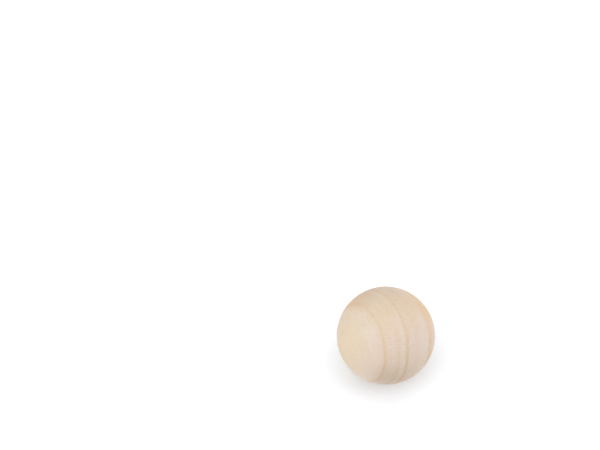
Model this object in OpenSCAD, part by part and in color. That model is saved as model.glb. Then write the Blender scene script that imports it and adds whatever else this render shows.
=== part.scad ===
// Wooden craft ball: one solid piece of bare hardwood, turned round and sanded smooth.
// It has no hole, flat, neck or seam. Millimetres, +Z up, with the origin at the ball's centre.

/* [Ball] */
// Diameter of the finished ball, the same in every direction
ball_d = 25; // [6:0.5:100]

/* [Finish] */
// Colour of the bare, sanded wood
wood_colour = "#E6D4BE"; // [#E6D4BE:Cream, #EFE3D0:Pale, #D9BD99:Tan]

/* [Hidden] */
// Sides on the great circles of the preview
round_sides = 128;

// The whole ball, turned from one blank. Every section through the centre is the same disc.
module ball() {
    color(wood_colour)
        sphere(d = ball_d, $fn = round_sides);
}

ball();
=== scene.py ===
import math
from collections import namedtuple

import bmesh
import bpy
from bpy.props import FloatProperty, FloatVectorProperty, IntProperty, PointerProperty
from mathutils import Euler, Matrix, Vector, noise


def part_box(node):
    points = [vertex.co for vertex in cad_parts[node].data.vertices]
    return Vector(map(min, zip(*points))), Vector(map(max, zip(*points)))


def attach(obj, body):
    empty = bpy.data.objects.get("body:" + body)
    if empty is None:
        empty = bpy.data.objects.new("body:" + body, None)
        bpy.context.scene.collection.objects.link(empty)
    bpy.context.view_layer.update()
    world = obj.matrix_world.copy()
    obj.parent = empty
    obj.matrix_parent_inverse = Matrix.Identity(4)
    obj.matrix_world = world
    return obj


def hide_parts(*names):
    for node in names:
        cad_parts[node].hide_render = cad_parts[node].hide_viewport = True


bl_info = {
    "name": "Turned Wooden Ball",
    "version": (1, 0, 0),
    "blender": (4, 5, 0),
    "location": "3D View > Sidebar > Wooden Ball",
    "description": "Makes a turned and sanded hardwood ball with its growth rings, and a plain stage",
    "category": "Object",
}

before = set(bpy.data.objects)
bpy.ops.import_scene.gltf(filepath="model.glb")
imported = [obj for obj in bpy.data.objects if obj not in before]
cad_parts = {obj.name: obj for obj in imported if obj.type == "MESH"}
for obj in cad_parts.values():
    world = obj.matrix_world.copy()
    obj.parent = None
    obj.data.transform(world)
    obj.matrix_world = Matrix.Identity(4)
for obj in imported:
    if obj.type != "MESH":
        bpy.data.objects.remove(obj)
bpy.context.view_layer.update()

MM = 0.001
NODE = "ball"
BODY = "root"

CAD_LOW, CAD_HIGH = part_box(NODE)
# The smallest half side of the ball's box, so the turned surface stays inside it all round
CAD_RADIUS = min(CAD_HIGH - CAD_LOW) / 2

# Growth rings from the pith side to the bark side. A ring darkens slowly towards the bark, then
# turns pale at once. Edge is where that dark edge passes the ball's centre line, dark_width how
# wide the dark wood before it is and pale_reach how far the pale wood after it reaches, all in mm
# towards the bark. Strength is how strongly the dark wood is coloured
Ring = namedtuple("Ring", "edge dark_width pale_reach strength")
RINGS = (
    Ring(-11.4, 1.3, 3.0, 0.65),
    Ring(-5.40, 4.0, 4.5, 0.62),
    Ring(2.23, 1.15, 2.2, 0.60),
    Ring(7.52, 1.10, 4.2, 0.80),
)
# How far past its edge a ring's dark wood takes to end, in mm
RING_FALL = 0.38
# How far along its reach the pale wood is palest
PALEST_SHARE = 0.35

# Faint bands inside the rings, darker or paler than the rest, in mm towards the bark
Band = namedtuple("Band", "middle half_width strength")
DARK_BANDS = (
    Band(-8.6, 0.5, 0.20),
    Band(-0.65, 0.7, 0.15),
    Band(1.9, 1.1, 0.12),
    Band(4.40, 0.9, 0.22),
    Band(6.7, 0.5, 0.18),
    Band(11.1, 0.8, 0.10),
)
PALE_BANDS = (
    Band(5.5, 0.8, 0.45),
)

# Soft patches of tint: the middle's place from the ball's centre and how far the tint reaches from
# it, both in mm. Some are the wood's own drift of colour and some are painted shade and light, as noted
# at each
Patch = namedtuple("Patch", "middle reach tint")
TINT_AND_PAINTED_LIGHT_PATCHES = (
    # Painted shade on the front, low down near the floor
    Patch((0.9, -12.3, -0.6), 7.6, (0.894, 0.864, 0.835)),
    # Painted shade and warm bounce light on the upper left rim
    Patch((-7.3, 4.8, 8.8), 7.2, (0.935, 0.888, 0.785)),
    # Partly paler early wood and partly a painted highlight, left of the middle of the seen side
    Patch((-5.1, -4.4, 10.4), 6.0, (1.010, 1.055, 1.150)),
    # Partly the wood's warmer tone and partly painted warm bounce light on the upper right rim
    Patch((10.7, 3.3, 6.0), 5.8, (0.985, 0.935, 0.825)),
    # Paler and bluer on the right, a little below the middle
    Patch((8.5, -7.0, 5.8), 5.8, (1.020, 1.040, 1.090)),
    # Painted shade on the left rim, darker and less blue
    Patch((-11.2, -0.8, 5.2), 6.5, (0.962, 0.962, 0.925)),
    # A faint yellowing at the top rim
    Patch((-1.9, 5.3, 11.0), 5.0, (0.985, 1.000, 0.970)),
)

# How the rings wander from true circles: waves per mm to the bark, across and along the fibres,
# their height in mm, and the place in Blender's noise where they are read
Wander = namedtuple("Wander", "waves height place")
SLOW_SWAY = Wander((0.06, 0.09, 0.05), 0.50, (0.5, -17.7, 3.4))
SMALL_RIPPLE = Wander((0.15, 0.35, 0.12), 0.16, (-11.6, 19.7, -3.4))

# The turned surface: waves of its out of round over one radius, the place in the noise where they
# are read, and waves per mm of the streaks that sanding leaves, to the bark, across and along
ROUND_WAVES = 1.3
ROUND_PLACE = (4.0, 2.0, 9.0)
SANDING_WAVES = (1.9, 1.9, 0.15)

# Noise in the wood's figure: waves per mm to the bark, across and along the fibres, its shift, and
# how much finer noise it carries and how strong that is
Figure = namedtuple("Figure", "waves shift detail roughness", defaults=((0.0, 0.0, 0.0), 2.0, 0.5))
RAGGED_EDGES = Figure((0.8, 0.8, 0.2), detail=3.0, roughness=0.55)
COLOUR_DRIFT = Figure((0.13, 0.11, 0.07), shift=(3.0, 1.0, 0.0))
UNEVEN_RINGS = Figure((0.3, 0.35, 0.12), shift=(9.0, 4.0, 2.0))
STREAKS = Figure((2.6, 2.6, 0.16), detail=4.0, roughness=0.6)
VESSEL_PLACES = Figure((1.5, 1.5, 0.3), shift=(5.0, 8.0, 1.0), detail=1.0)
RAY_SHEETS = Figure((0.45, 7.0, 1.5), shift=(2.0, 0.0, 6.0))
FUZZ = Figure((9.0, 9.0, 5.0))
# Fine layers, which run with the rings: waves per mm of growth
FINE_LAYERS = Figure((2.2, 1.0, 1.0), detail=3.0, roughness=0.6)
# The open vessels are cells: how many there are to a mm to the bark, across and along the fibres
VESSEL_CELLS = (7.6, 7.6, 0.55)

# A smooth change: where it starts and ends, and what it gives before and after
Fade = namedtuple("Fade", "start end low high", defaults=(0.0, 1.0))
# These follow the noise above. Ragged edges are in mm
RAGGED_BY = Fade(0.2, 0.8, -0.13, 0.13)
DRIFT_BY = Fade(0.3, 0.7, -0.2, 0.2)
UNEVEN_BY = Fade(0.2, 0.8, 0.75, 1.1)
LAYERS_BY = Fade(0.3, 0.75)
STREAKS_BY = Fade(0.35, 0.75, 0.0, 0.34)
RAYS_BY = Fade(0.56, 0.70)
VESSELS_HERE = Fade(0.32, 0.56)
ROUGHNESS_BY = Fade(0.3, 0.7, 0.60, 0.70)
# From the middle of a vessel's cell outwards
VESSEL_MOUTH = Fade(0.12, 0.36, 1.0, 0.0)
# Along the growth distance in mm, from the pith side's colour to the bark side's
PITH_TO_SAP = Fade(-7.0, 9.0)
# As the cut turns from along the fibres, 0, to square across them, 1
END_GRAIN_SHARE = Fade(0.05, 0.65)
EARLY_WOOD_SHARE = Fade(0.0, 0.45, 0.10, 1.0)
RING_SHARE_SIDE = Fade(0.10, 0.40, 0.75, 1.0)
RING_SHARE_END = Fade(0.40, 0.95, 0.66, 1.55)
END_TINT_SHARE = Fade(0.45, 0.95)
LAYER_SHARE = Fade(0.3, 0.9, 0.12, 0.45)
RAY_SHARE = Fade(0.2, 0.9, 0.55, 1.0)

# How strongly the vessels are coloured, and the dull gloss of bare wood as a specular level
VESSEL_STRENGTH = 0.75
BARE_GLOSS = 0.18
# The finest relief: its depth in mm, and how much of it each part makes up
FINE_RELIEF = 0.012
STREAK_RELIEF = 0.6
FUZZ_RELIEF = 0.15
VESSEL_RELIEF = -0.5
RAY_RELIEF = 0.12

# How far from the place where the ball rests the floor's lift changes, in metres: from its
# contact value to its full value, and beyond the shadow up to pure white. The lower lift close
# round the contact is painted shade, which makes the floor's shadow deeper there
PAINTED_SHADE_START = 0.0055
PAINTED_SHADE_END = 0.010
WHITE_START = 0.012
WHITE_END = 0.07

# The frame that the camera fills, and where the ball's centre lies in it, in pixels
FRAME_SIZE = (600, 450)
BALL_AT = (385.7, 335.5)
SENSOR_WIDTH = 36.0
# The nearest and the farthest that the camera sees, in metres
CAMERA_RANGE = (0.01, 50.0)

# Where each softbox stands: its bearing from the front towards +X and its height, in degrees
TOP_SOFTBOX = (0, 90)
LEFT_SOFTBOX = (-60, 22)
RIGHT_SOFTBOX = (90, 22)


# ---------------------------------------------------------------- sizes and colours

class BallSettings(bpy.types.PropertyGroup):
    """The turned ball's size and surface"""

    radius: FloatProperty(
        name="Radius", description="Radius of the finished ball",
        default=CAD_RADIUS, min=0.001, unit="LENGTH", precision=5,
    )
    faces_across: IntProperty(
        name="Faces Across", description="Rows of faces across each of the six patches of the mesh",
        default=124, min=8, max=128,
    )
    out_of_round: FloatProperty(
        name="Out of Round", description="How far the lathe and the tumbler leave it from a true sphere",
        default=0.00003, min=0.0, unit="LENGTH", precision=6,
    )
    ring_relief: FloatProperty(
        name="Ring Relief", description="How far the hard edge of each growth ring stands proud",
        default=0.000012, min=0.0, unit="LENGTH", precision=6,
    )
    fibre_relief: FloatProperty(
        name="Fibre Relief", description="Depth of the soft streaks that sanding leaves along the fibres",
        default=0.000006, min=0.0, unit="LENGTH", precision=6,
    )


class WoodSettings(bpy.types.PropertyGroup):
    """How the blank was cut from the trunk, and the wood's colours"""

    bark_side: FloatVectorProperty(
        name="Bark Side", description="Direction from the pith to the bark through the ball",
        default=(-0.820, -0.502, 0.276), subtype="DIRECTION",
    )
    fibres: FloatVectorProperty(
        name="Fibres", description="Direction of the trunk's length, along which the fibres run",
        default=(0.510, -0.859, -0.048), subtype="DIRECTION",
    )
    pith_distance: FloatProperty(
        name="Pith Distance", description="Distance from the ball's centre to the centre of the trunk",
        default=0.083, min=0.02, unit="LENGTH",
    )
    pith_side: FloatVectorProperty(
        name="Pith Side", description="Colour of the older wood, nearer the pith, cut along the fibres",
        default=(0.863, 0.697, 0.513), subtype="COLOR", min=0.0, max=1.0,
    )
    sap_side: FloatVectorProperty(
        name="Sap Side", description="Colour of the younger wood, nearer the bark, cut along the fibres",
        default=(0.838, 0.699, 0.520), subtype="COLOR", min=0.0, max=1.0,
    )
    end_grain: FloatVectorProperty(
        name="End Grain", description="Colour of the wood where the cut crosses the fibres",
        default=(0.855, 0.712, 0.596), subtype="COLOR", min=0.0, max=1.0,
    )
    early_wood: FloatVectorProperty(
        name="Early Wood", description="Colour of the pale wood just outside a ring's edge",
        default=(0.868, 0.735, 0.618), subtype="COLOR", min=0.0, max=1.0,
    )
    ring_edge: FloatVectorProperty(
        name="Ring Edge", description="Tint of the dark edge of a growth ring along the fibres",
        default=(0.962, 0.855, 0.735), subtype="COLOR", min=0.0, max=1.0,
    )
    ring_end: FloatVectorProperty(
        name="Ring on End Grain", description="Tint of the dark edge of a growth ring on the end grain",
        default=(0.922, 0.855, 0.735), subtype="COLOR", min=0.0, max=1.0,
    )
    vessel: FloatVectorProperty(
        name="Vessels", description="Tint of the fine open vessels along the fibres",
        default=(0.800, 0.720, 0.640), subtype="COLOR", min=0.0, max=1.0,
    )
    ray: FloatVectorProperty(
        name="Rays", description="Tint of the rays that run from pith to bark",
        default=(0.930, 0.880, 0.840), subtype="COLOR", min=0.0, max=1.0,
    )


class StageSettings(bpy.types.PropertyGroup):
    """The floor, the lights and the camera"""

    floor_width: FloatProperty(
        name="Floor Width", description="Width of the square floor",
        default=8.0, min=0.1, unit="LENGTH",
    )
    floor_colour: FloatVectorProperty(
        name="Floor Colour", description="Colour of the matte floor",
        default=(0.832, 0.865, 0.908), subtype="COLOR", min=0.0, max=1.0,
    )
    floor_lift: FloatProperty(
        name="Floor Lift", description="Light that is added to the floor where the camera sees it",
        default=0.285, min=0.0, max=1.0, subtype="FACTOR",
    )
    # A lower lift here paints shade into the contact shadow
    contact_lift_painted_shade: FloatProperty(
        name="Contact Lift", description="The same light close round the place where the ball rests",
        default=0.155, min=0.0, max=1.0, subtype="FACTOR",
    )
    sky_strength: FloatProperty(
        name="Sky Strength", description="Strength of the even white light from all round",
        default=0.41, min=0.0, max=1.0, subtype="FACTOR",
    )
    top_power: FloatProperty(
        name="Top Softbox", description="Power of the softbox straight above the ball",
        default=4.6, min=0.0, unit="POWER",
    )
    left_power: FloatProperty(
        name="Left Softbox", description="Power of the softbox low at the front left",
        default=5.4, min=0.0, unit="POWER",
    )
    right_power: FloatProperty(
        name="Right Softbox", description="Power of the softbox low at the right",
        default=4.4, min=0.0, unit="POWER",
    )
    softbox_width: FloatProperty(
        name="Softbox Width", description="Width of each square softbox",
        default=0.8, min=0.05, unit="LENGTH",
    )
    softbox_distance: FloatProperty(
        name="Softbox Distance", description="Distance from the ball to each softbox",
        default=1.2, min=0.1, unit="LENGTH",
    )
    view_height: FloatProperty(
        name="View Height", description="Angle above the floor from which the ball is seen",
        default=math.radians(56), unit="ROTATION",
    )
    view_distance: FloatProperty(
        name="View Distance", description="Distance from the camera to the ball",
        default=0.625, min=0.05, unit="LENGTH",
    )
    lens: FloatProperty(
        name="Lens", description="Focal length of the camera in mm",
        default=147.5, min=10.0, unit="CAMERA",
    )


# ---------------------------------------------------------------- the wood's structure

def wood_axes(wood):
    """Turns a place on the ball into the wood's own directions: to the bark, across, along."""
    fibres = Vector(wood.fibres).normalized()
    bark = Vector(wood.bark_side)
    bark = (bark - fibres * bark.dot(fibres)).normalized()
    return Matrix((bark, fibres.cross(bark), fibres))


def growth_at(place, pith_distance):
    """Distance towards the bark, in mm, of a place given in the wood's own directions in mm."""
    growth = math.hypot(pith_distance + place.x, place.y) - pith_distance
    # The trunk isn't quite straight or round, so its rings wander a little
    for wander in (SLOW_SWAY, SMALL_RIPPLE):
        spot = place * Vector(wander.waves) + Vector(wander.place)
        growth += wander.height * noise.noise(spot, noise_basis="PERLIN_NEW")
    return growth


def smooth_step(value, start, end):
    """Rises smoothly from 0 at start to 1 at end, as the shader's smooth steps do."""
    part = min(max((value - start) / (end - start), 0.0), 1.0)
    return part * part * (3.0 - 2.0 * part)


def ring_hardness(growth):
    """How dense the wood is at a growth distance: highest at a ring's dark edge, 0 between."""
    hardness = 0.0
    for ring in RINGS:
        rise = smooth_step(growth, ring.edge - ring.dark_width, ring.edge) ** 2
        fall = 1.0 - smooth_step(growth, ring.edge, ring.edge + RING_FALL)
        hardness += ring.strength * rise * fall
    return hardness


# ---------------------------------------------------------------- shader nodes

class NodeTable:
    """Adds nodes to one tree. An input is a number, a colour or another node's output."""

    def __init__(self, tree):
        self.tree = tree
        tree.nodes.clear()

    def add(self, kind, inputs=None, **settings):
        """Adds one node, with its settings and its inputs by name or number."""
        node = self.tree.nodes.new(kind)
        for name, value in settings.items():
            setattr(node, name, value)
        for name, value in (inputs or {}).items():
            self.feed(node.inputs[name], value)
        return node

    def feed(self, socket, value):
        """Links an output to a socket, or sets the socket to a number or a colour."""
        if isinstance(value, bpy.types.NodeSocket):
            self.tree.links.new(value, socket)
        elif socket.type == "RGBA":
            socket.default_value = (*value, 1.0)
        else:
            socket.default_value = value

    def math(self, operation, *values):
        """One calculation on numbers or other nodes' outputs."""
        return self.add("ShaderNodeMath", dict(enumerate(values)), operation=operation).outputs[0]

    def step(self, value, start, end, low=0.0, high=1.0):
        """A smooth step from low at start to high at end."""
        limits = {"From Min": start, "From Max": end, "To Min": low, "To Max": high}
        node = self.add("ShaderNodeMapRange", {"Value": value, **limits}, interpolation_type="SMOOTHSTEP")
        return node.outputs["Result"]

    def fade(self, value, change):
        """A smooth step by the four numbers of one Fade."""
        return self.step(value, *change)

    def stretch(self, vector, scale, shift=(0.0, 0.0, 0.0)):
        """Scales a vector along each axis, then shifts it."""
        return self.add("ShaderNodeMapping", {0: vector, "Scale": scale, "Location": shift}).outputs[0]

    def noise(self, vector, figure):
        """Soft noise of one figure, mostly 0.3 to 0.7."""
        place = self.stretch(vector, figure.waves, figure.shift)
        inputs = {"Vector": place, "Scale": 1.0, "Detail": figure.detail, "Roughness": figure.roughness}
        return self.add("ShaderNodeTexNoise", inputs).outputs["Fac"]

    def mix(self, amount, first, second):
        """Goes from the first colour to the second as amount goes from 0 to 1."""
        return self.add("ShaderNodeMix", {0: amount, 6: first, 7: second}, data_type="RGBA").outputs[2]

    def tint(self, amount, colour, by):
        """Multiplies a colour by another, as far as amount says."""
        inputs = {0: amount, 6: colour, 7: by}
        node = self.add("ShaderNodeMix", inputs, data_type="RGBA", blend_type="MULTIPLY")
        return node.outputs[2]


# How the surface cuts the block of wood: its place and the wood's own directions, both in mm, how
# square it lies to the fibres, and its growth distance in mm
Cut = namedtuple("Cut", "place grain end_on growth")


def cut_nodes(table, wood, ball):
    """Reads how the surface cuts the wood. Grain is X to the bark, Y across, Z along the fibres."""
    place = table.add("ShaderNodeTexCoord").outputs["Object"]
    to_mm = (1 / MM,) * 3
    turn = {"Vector": place, "Rotation": wood_axes(wood).to_euler(), "Scale": to_mm}
    grain = table.add("ShaderNodeMapping", turn).outputs["Vector"]
    along = table.add("ShaderNodeSeparateXYZ", {"Vector": grain}).outputs["Z"]
    # 0 where the surface runs along the fibres, 1 at the two ends where it cuts them square
    end_on = table.math("ABSOLUTE", table.math("DIVIDE", along, ball.radius / MM))
    growth = table.add("ShaderNodeAttribute", attribute_name="growth").outputs["Fac"]
    ragged = table.fade(table.noise(grain, RAGGED_EDGES), RAGGED_BY)
    return Cut(table.stretch(place, to_mm), grain, end_on, table.math("ADD", growth, ragged))


def ring_nodes(table, growth):
    """How dark the growth rings leave the wood, 0 to about 1."""
    total = 0.0
    for ring in RINGS:
        rise = table.math("POWER", table.step(growth, ring.edge - ring.dark_width, ring.edge), 2.0)
        fall = table.step(growth, ring.edge, ring.edge + RING_FALL, ring.strength, 0.0)
        total = table.math("MULTIPLY_ADD", rise, fall, total)
    return total


def band_nodes(table, growth, bands):
    """How strongly the faint bands show, 0 to about 0.5."""
    total = 0.0
    for band in bands:
        away = table.math("ABSOLUTE", table.math("SUBTRACT", growth, band.middle))
        total = table.math("ADD", table.step(away, 0.0, band.half_width, band.strength, 0.0), total)
    return total


def early_wood_nodes(table, growth):
    """How early in its year the wood grew: 1 just outside a ring's edge, 0 where it is dense."""
    total = 0.0
    for ring in RINGS:
        palest = ring.edge + PALEST_SHARE * ring.pale_reach
        start = table.step(growth, ring.edge, palest)
        end = table.step(growth, palest, ring.edge + ring.pale_reach, 1.0, 0.0)
        total = table.math("MULTIPLY_ADD", start, end, total)
    return total


def vessel_nodes(table, cut):
    """The fine open vessels: short lines along the fibres, and dots on the end grain."""
    cells = {"Vector": table.stretch(cut.grain, VESSEL_CELLS), "Scale": 1.0, "Randomness": 1.0}
    vessel = table.add("ShaderNodeTexVoronoi", cells, feature="F1").outputs["Distance"]
    here = table.fade(table.noise(cut.grain, VESSEL_PLACES), VESSELS_HERE)
    return table.math("MULTIPLY", table.fade(vessel, VESSEL_MOUTH), here)


def body_colour(table, cut, wood):
    """The wood's own colour, yellower along the fibres and pinker where they are cut across."""
    colour = table.mix(table.fade(cut.growth, PITH_TO_SAP), wood.pith_side, wood.sap_side)
    return table.mix(table.fade(cut.end_on, END_GRAIN_SHARE), colour, wood.end_grain)


def with_early_wood(table, cut, wood, colour):
    """Lays in the pale early wood just outside each ring's edge, and a slow drift of its tone."""
    early = table.math("ADD", early_wood_nodes(table, cut.growth),
                       band_nodes(table, cut.growth, PALE_BANDS))
    drift = table.fade(table.noise(cut.grain, COLOUR_DRIFT), DRIFT_BY)
    early = table.math("MULTIPLY_ADD", early, table.fade(cut.end_on, EARLY_WOOD_SHARE), drift)
    return table.mix(early, colour, wood.early_wood)


def with_tint_and_painted_light(table, cut, colour):
    """Tints the wood softly round the middle of each patch: the wood's drift of colour, and painted shade
    and light.
    """
    for patch in TINT_AND_PAINTED_LIGHT_PATCHES:
        away = table.add("ShaderNodeVectorMath", {0: cut.place, 1: patch.middle}, operation="DISTANCE")
        near = table.step(away.outputs["Value"], 0.0, patch.reach, 1.0, 0.0)
        colour = table.tint(near, colour, patch.tint)
    return colour


def with_rings(table, cut, ring_tint, colour):
    """Lays in the dark rings and bands, stronger where they are cut end on."""
    rings = table.math("ADD", ring_nodes(table, cut.growth), band_nodes(table, cut.growth, DARK_BANDS))
    strength = table.math("MULTIPLY", table.fade(table.noise(cut.grain, UNEVEN_RINGS), UNEVEN_BY),
                          table.fade(cut.end_on, RING_SHARE_END))
    strength = table.math("MULTIPLY", strength, table.fade(cut.end_on, RING_SHARE_SIDE))
    return table.tint(table.math("MULTIPLY", rings, strength), colour, ring_tint)


def with_fine_layers(table, cut, ring_tint, colour):
    """Lays in the fine layers that follow the rings, which show most on the end grain."""
    layer = table.add("ShaderNodeCombineXYZ", {"X": cut.growth}).outputs[0]
    layer = table.fade(table.noise(layer, FINE_LAYERS), LAYERS_BY)
    layer = table.math("MULTIPLY", layer, table.fade(cut.end_on, LAYER_SHARE))
    return table.tint(layer, colour, ring_tint)


def relief_nodes(table, cut, streak, vessel, ray):
    """The sanded surface: soft fuzzy streaks, sunk vessels and rays a little proud."""
    fuzz = table.noise(cut.grain, FUZZ)
    height = table.math("MULTIPLY_ADD", streak, STREAK_RELIEF, table.math("MULTIPLY", fuzz, FUZZ_RELIEF))
    height = table.math("MULTIPLY_ADD", vessel, VESSEL_RELIEF, height)
    height = table.math("MULTIPLY_ADD", ray, RAY_RELIEF, height)
    inputs = {"Strength": 1.0, "Distance": FINE_RELIEF * MM, "Height": height}
    return table.add("ShaderNodeBump", inputs).outputs["Normal"]


def bare_wood(wood, ball):
    """Bare, sanded, pale hardwood, cut through its rings and fibres as a solid block."""
    material = bpy.data.materials.new("bare_wood")
    material.use_nodes = True
    table = NodeTable(material.node_tree)
    cut = cut_nodes(table, wood, ball)
    streak = table.noise(cut.grain, STREAKS)
    vessel = vessel_nodes(table, cut)
    ray = table.fade(table.noise(cut.grain, RAY_SHEETS), RAYS_BY)
    ring_tint = table.mix(table.fade(cut.end_on, END_TINT_SHARE), wood.ring_edge, wood.ring_end)

    colour = body_colour(table, cut, wood)
    colour = with_early_wood(table, cut, wood, colour)
    # The patches lay in painted shade and light along with the wood's drift of colour
    colour = with_tint_and_painted_light(table, cut, colour)
    colour = with_rings(table, cut, ring_tint, colour)
    colour = with_fine_layers(table, cut, ring_tint, colour)
    colour = table.tint(table.fade(streak, STREAKS_BY), colour, wood.ring_edge)
    colour = table.tint(table.math("MULTIPLY", vessel, VESSEL_STRENGTH), colour, wood.vessel)
    ray_share = table.math("MULTIPLY", ray, table.fade(cut.end_on, RAY_SHARE))
    colour = table.tint(ray_share, colour, wood.ray)

    surface = table.add("ShaderNodeBsdfPrincipled", {
        "Base Color": colour,
        "Roughness": table.fade(streak, ROUGHNESS_BY),
        "Specular IOR Level": BARE_GLOSS,
        "Normal": relief_nodes(table, cut, streak, vessel, ray),
    })
    table.add("ShaderNodeOutputMaterial", {"Surface": surface.outputs["BSDF"]})
    return material


# ---------------------------------------------------------------- the ball

def depth_at(ball, direction, place, growth):
    """How far inside the full radius the surface lies, so that nothing stands out of it."""
    wave = 0.5 - 0.5 * noise.noise(direction * ROUND_WAVES + Vector(ROUND_PLACE))
    streak = 0.5 - 0.5 * noise.noise(place * Vector(SANDING_WAVES))
    return (
        ball.out_of_round * wave
        + ball.fibre_relief * streak
        + ball.ring_relief * (1.0 - ring_hardness(growth))
    )


def turned_ball_mesh(ball, wood):
    """An even, closed ball of four-sided faces, which carries its growth distance in mm."""
    mesh = bpy.data.meshes.new("turned_ball")
    bm = bmesh.new()
    bmesh.ops.create_cube(bm, size=2.0)
    bmesh.ops.subdivide_edges(bm, edges=bm.edges[:], cuts=ball.faces_across - 1, use_grid_fill=True)
    growth_layer = bm.verts.layers.float.new("growth")
    axes = wood_axes(wood)
    radius = ball.radius / MM
    pith = wood.pith_distance / MM
    for vert in bm.verts:
        # Even angles, and not even steps on the cube, keep the faces near one size
        direction = Vector([math.tan(part * math.pi / 4) for part in vert.co]).normalized()
        place = axes @ direction * radius
        growth = growth_at(place, pith)
        vert[growth_layer] = growth
        vert.co = direction * (ball.radius - depth_at(ball, direction, place, growth))
    bmesh.ops.recalc_face_normals(bm, faces=bm.faces[:])
    for face in bm.faces:
        face.smooth = True
    bm.to_mesh(mesh)
    bm.free()
    return mesh


class WOODENBALL_OT_turn_ball(bpy.types.Operator):
    """Turn the ball from its blank and show its bare, sanded wood"""

    bl_idname = "wooden_ball.turn_ball"
    bl_label = "Turn Ball"

    def execute(self, context):
        ball = context.scene.wooden_ball
        wood = context.scene.wooden_ball_wood
        piece = bpy.data.objects.new("turned_ball", turned_ball_mesh(ball, wood))
        context.scene.collection.objects.link(piece)
        piece.data.materials.append(bare_wood(wood, ball))
        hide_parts(NODE)
        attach(piece, BODY)
        return {"FINISHED"}


# ---------------------------------------------------------------- the stage

def light_path_seen(table):
    """1 for rays from the camera and for reflections and clear glass, 0 for the light on the object."""
    path = table.add("ShaderNodeLightPath")
    seen = table.math("MAXIMUM", path.outputs["Is Camera Ray"], path.outputs["Is Glossy Ray"])
    return table.math("MAXIMUM", seen, path.outputs["Is Transmission Ray"])


def white_floor(stage):
    """A matte white floor that keeps the object's shadow and is lifted to white where it is seen, less so
    close round the ball, which paints shade into that shadow.
    """
    material = bpy.data.materials.new("white_floor")
    material.use_nodes = True
    table = NodeTable(material.node_tree)
    matte = table.add("ShaderNodeBsdfDiffuse", {"Color": stage.floor_colour})
    place = table.add("ShaderNodeTexCoord").outputs["Object"]
    rest = Vector((0.0, 0.0, CAD_LOW.z))
    away = table.add("ShaderNodeVectorMath", {0: place, 1: rest}, operation="DISTANCE").outputs["Value"]
    # Less lift close round the contact paints shade into the ball's shadow
    lift = table.step(away, PAINTED_SHADE_START, PAINTED_SHADE_END, stage.contact_lift_painted_shade, stage.floor_lift)
    lift = table.math("ADD", table.step(away, WHITE_START, WHITE_END), lift)
    lift = table.math("MULTIPLY", light_path_seen(table), lift)
    glow = table.add("ShaderNodeEmission", {"Color": (1.0, 1.0, 1.0), "Strength": lift})
    both = table.add("ShaderNodeAddShader", {0: matte.outputs[0], 1: glow.outputs[0]})
    table.add("ShaderNodeOutputMaterial", {"Surface": both.outputs[0]})
    return material


def set_sky(scene, stage):
    """An even white sky, which is plain white where the camera or a reflection sees it."""
    world = bpy.data.worlds.new("studio_sky")
    world.use_nodes = True
    table = NodeTable(world.node_tree)
    strength = table.step(light_path_seen(table), 0.0, 1.0, stage.sky_strength, 1.0)
    sky = table.add("ShaderNodeBackground", {"Color": (1.0, 1.0, 1.0), "Strength": strength})
    table.add("ShaderNodeOutputWorld", {"Surface": sky.outputs[0]})
    scene.world = world


def direction_to(bearing, height):
    """Direction at a bearing from the front, counted towards +X, and a height, both in degrees."""
    bearing, height = math.radians(bearing), math.radians(height)
    return Vector((
        math.sin(bearing) * math.cos(height),
        -math.cos(bearing) * math.cos(height),
        math.sin(height),
    ))


def add_softbox(scene, stage, name, side, power):
    """One large square lamp, which stands to one side or above and is turned to the ball."""
    light = bpy.data.lights.new(name, "AREA")
    light.shape = "SQUARE"
    light.size = stage.softbox_width
    light.energy = power
    lamp = bpy.data.objects.new(name, light)
    towards = direction_to(*side)
    lamp.location = towards * stage.softbox_distance
    lamp.rotation_euler = towards.to_track_quat("Z", "Y").to_euler()
    scene.collection.objects.link(lamp)


def add_floor(scene, stage):
    """A square floor that the ball rests on."""
    mesh = bpy.data.meshes.new("floor")
    bm = bmesh.new()
    bmesh.ops.create_grid(bm, x_segments=1, y_segments=1, size=stage.floor_width / 2)
    bmesh.ops.translate(bm, verts=bm.verts[:], vec=(0.0, 0.0, CAD_LOW.z))
    bm.to_mesh(mesh)
    bm.free()
    floor = bpy.data.objects.new("floor", mesh)
    floor.data.materials.append(white_floor(stage))
    scene.collection.objects.link(floor)


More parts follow.
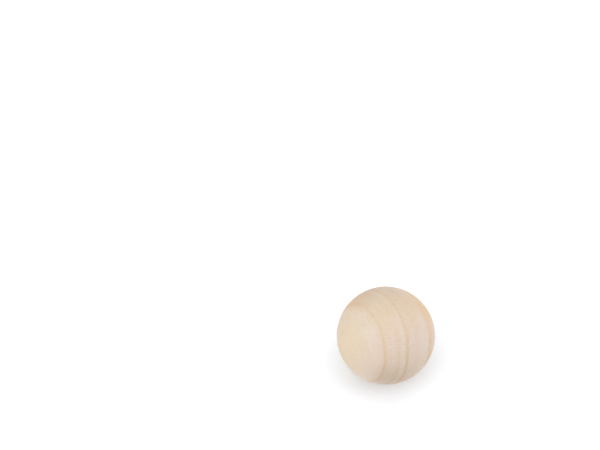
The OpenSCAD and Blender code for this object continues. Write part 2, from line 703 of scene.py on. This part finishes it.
def add_camera(scene, stage):
    """A long lens, aimed so that the ball lies off the middle of the frame with no lens shift."""
    data = bpy.data.cameras.new("camera")
    data.lens = stage.lens
    data.sensor_width = SENSOR_WIDTH
    data.clip_start, data.clip_end = CAMERA_RANGE
    camera = bpy.data.objects.new("camera", data)
    back = Vector((0.0, -math.cos(stage.view_height), math.sin(stage.view_height)))
    camera.location = back * stage.view_distance
    pixels = stage.lens / SENSOR_WIDTH * FRAME_SIZE[0]
    turn_left = math.atan((BALL_AT[0] - FRAME_SIZE[0] / 2) / pixels)
    turn_up = math.atan((BALL_AT[1] - FRAME_SIZE[1] / 2) / pixels)
    at_ball = back.to_track_quat("Z", "Y")
    camera.rotation_euler = (at_ball @ Euler((turn_up, turn_left, 0.0)).to_quaternion()).to_euler()
    scene.collection.objects.link(camera)
    scene.camera = camera


class WOODENBALL_OT_set_stage(bpy.types.Operator):
    """Lay the white floor under the ball, and set the soft lights and the camera"""

    bl_idname = "wooden_ball.set_stage"
    bl_label = "Set Stage"

    def execute(self, context):
        scene = context.scene
        stage = scene.wooden_ball_stage
        add_floor(scene, stage)
        set_sky(scene, stage)
        add_softbox(scene, stage, "top_softbox", TOP_SOFTBOX, stage.top_power)
        add_softbox(scene, stage, "left_softbox", LEFT_SOFTBOX, stage.left_power)
        add_softbox(scene, stage, "right_softbox", RIGHT_SOFTBOX, stage.right_power)
        add_camera(scene, stage)
        scene.view_settings.view_transform = "Standard"
        return {"FINISHED"}


# ---------------------------------------------------------------- the sidebar

class WOODENBALL_PT_sidebar(bpy.types.Panel):
    """The ball's steps and settings in the sidebar"""

    bl_idname = "WOODENBALL_PT_sidebar"
    bl_label = "Wooden Ball"
    bl_space_type = "VIEW_3D"
    bl_region_type = "UI"
    bl_category = "Wooden Ball"

    def draw(self, context):
        layout = self.layout
        for step in STEPS:
            layout.operator(step.bl_idname)
        for name, settings in GROUPS.items():
            group = getattr(context.scene, name)
            box = layout.box()
            box.label(text=settings.__doc__)
            for setting in settings.__annotations__:
                box.prop(group, setting)


GROUPS = {
    "wooden_ball": BallSettings,
    "wooden_ball_wood": WoodSettings,
    "wooden_ball_stage": StageSettings,
}
STEPS = (WOODENBALL_OT_turn_ball, WOODENBALL_OT_set_stage)
CLASSES = (*GROUPS.values(), *STEPS, WOODENBALL_PT_sidebar)


def register():
    for cls in CLASSES:
        bpy.utils.register_class(cls)
    for name, group in GROUPS.items():
        setattr(bpy.types.Scene, name, PointerProperty(type=group))


def unregister():
    for name in GROUPS:
        delattr(bpy.types.Scene, name)
    for cls in reversed(CLASSES):
        bpy.utils.unregister_class(cls)


def main():
    """Makes the ball and the stage."""
    register()
    bpy.ops.wooden_ball.turn_ball()
    bpy.ops.wooden_ball.set_stage()


if __name__ == "__main__":
    main()
